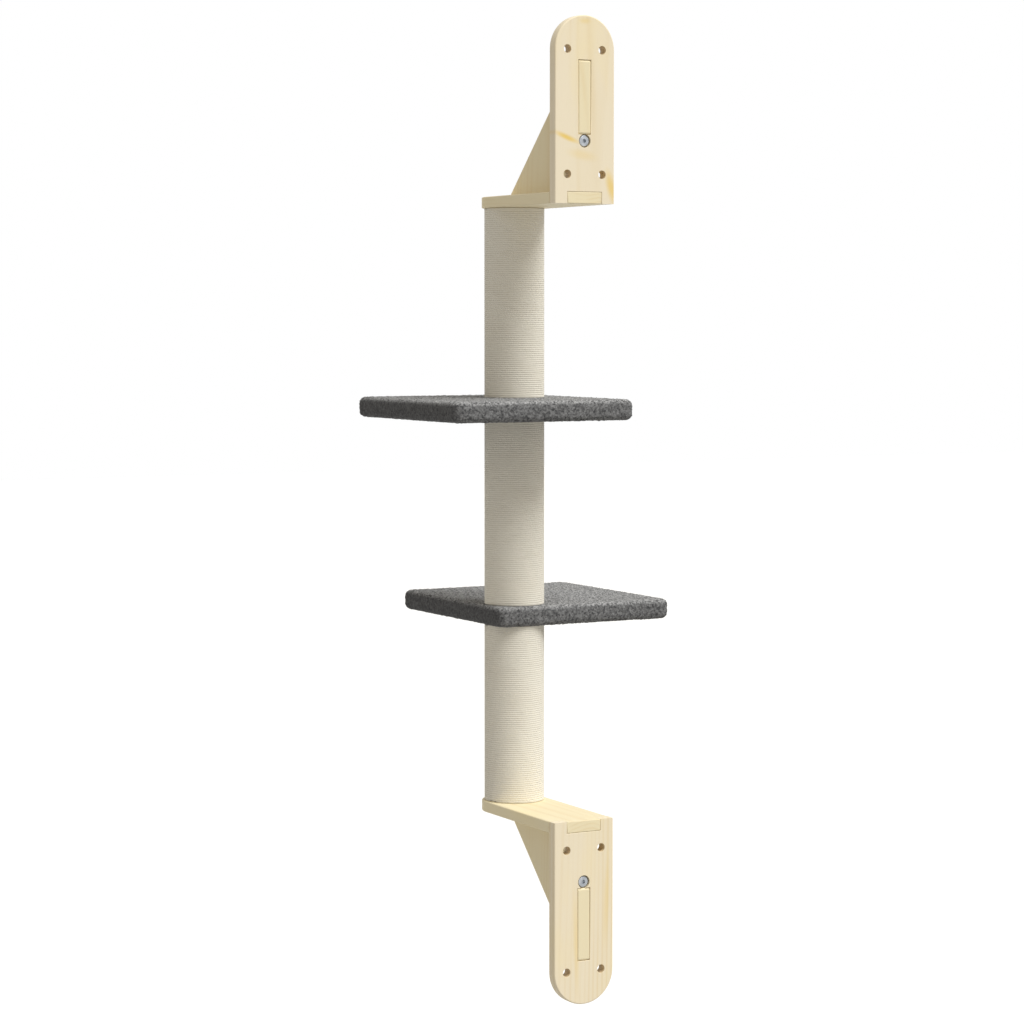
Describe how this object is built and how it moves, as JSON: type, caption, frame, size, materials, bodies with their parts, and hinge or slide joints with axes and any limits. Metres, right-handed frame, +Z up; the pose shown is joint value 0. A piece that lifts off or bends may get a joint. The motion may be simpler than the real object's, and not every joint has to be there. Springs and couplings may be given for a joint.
{
  "type": "wall mounted cat tree",
  "caption": "Wall mounted cat tree: a rope-wound post between two braced pine brackets, with carpeted platforms that swivel about the post when its joints are slackened.",
  "frame": {"origin": "centre of the upper wall plate's four screw holes, on the wall plane", "axes": "+X to the right as seen from the room, +Y into the wall, +Z up"},
  "size_m": [0.397, 0.445, 1.3],
  "materials": {
    "pine": "planed, clear lacquer",
    "beech": "turned",
    "chipboard": "raw",
    "core": "turned, raw",
    "rope": "twisted fibre",
    "carpet": "short pile",
    "steel": "zinc plated"
  },
  "bodies": {
    "post_and_brackets": {"upper_wall_plate": "pine", "upper_shelf": "pine", "upper_brace": "pine", "upper_brace_dowels": "beech", "upper_brace_bolt": "steel", "upper_post_bolt": "steel", "lower_wall_plate": "pine", "lower_shelf": "pine", "lower_brace": "pine", "lower_brace_dowels": "beech", "lower_brace_bolt": "steel", "lower_post_bolt": "steel", "lower_post_core": "core", "lower_post_rope": "rope", "middle_post_core": "core", "middle_post_rope": "rope", "upper_post_core": "core", "upper_post_rope": "rope", "upper_platform_stud": "steel", "lower_platform_stud": "steel"},
    "lower_platform": {"lower_platform_board": "chipboard", "lower_platform_carpet": "carpet"},
    "upper_platform": {"upper_platform_board": "chipboard", "upper_platform_carpet": "carpet"}
  },
  "joints": [
    {"name": "lower_platform_swivel", "type": "hinge", "parent": "post_and_brackets", "child": "lower_platform", "pos_m": [0, -0.193, -0.6735], "axis": [0, 0, 1], "range_deg": [-45, 125]},
    {"name": "upper_platform_swivel", "type": "hinge", "parent": "post_and_brackets", "child": "upper_platform", "pos_m": [0, -0.193, -0.3905], "axis": [0, 0, 1], "range_deg": [-200, 8]}
  ]
}
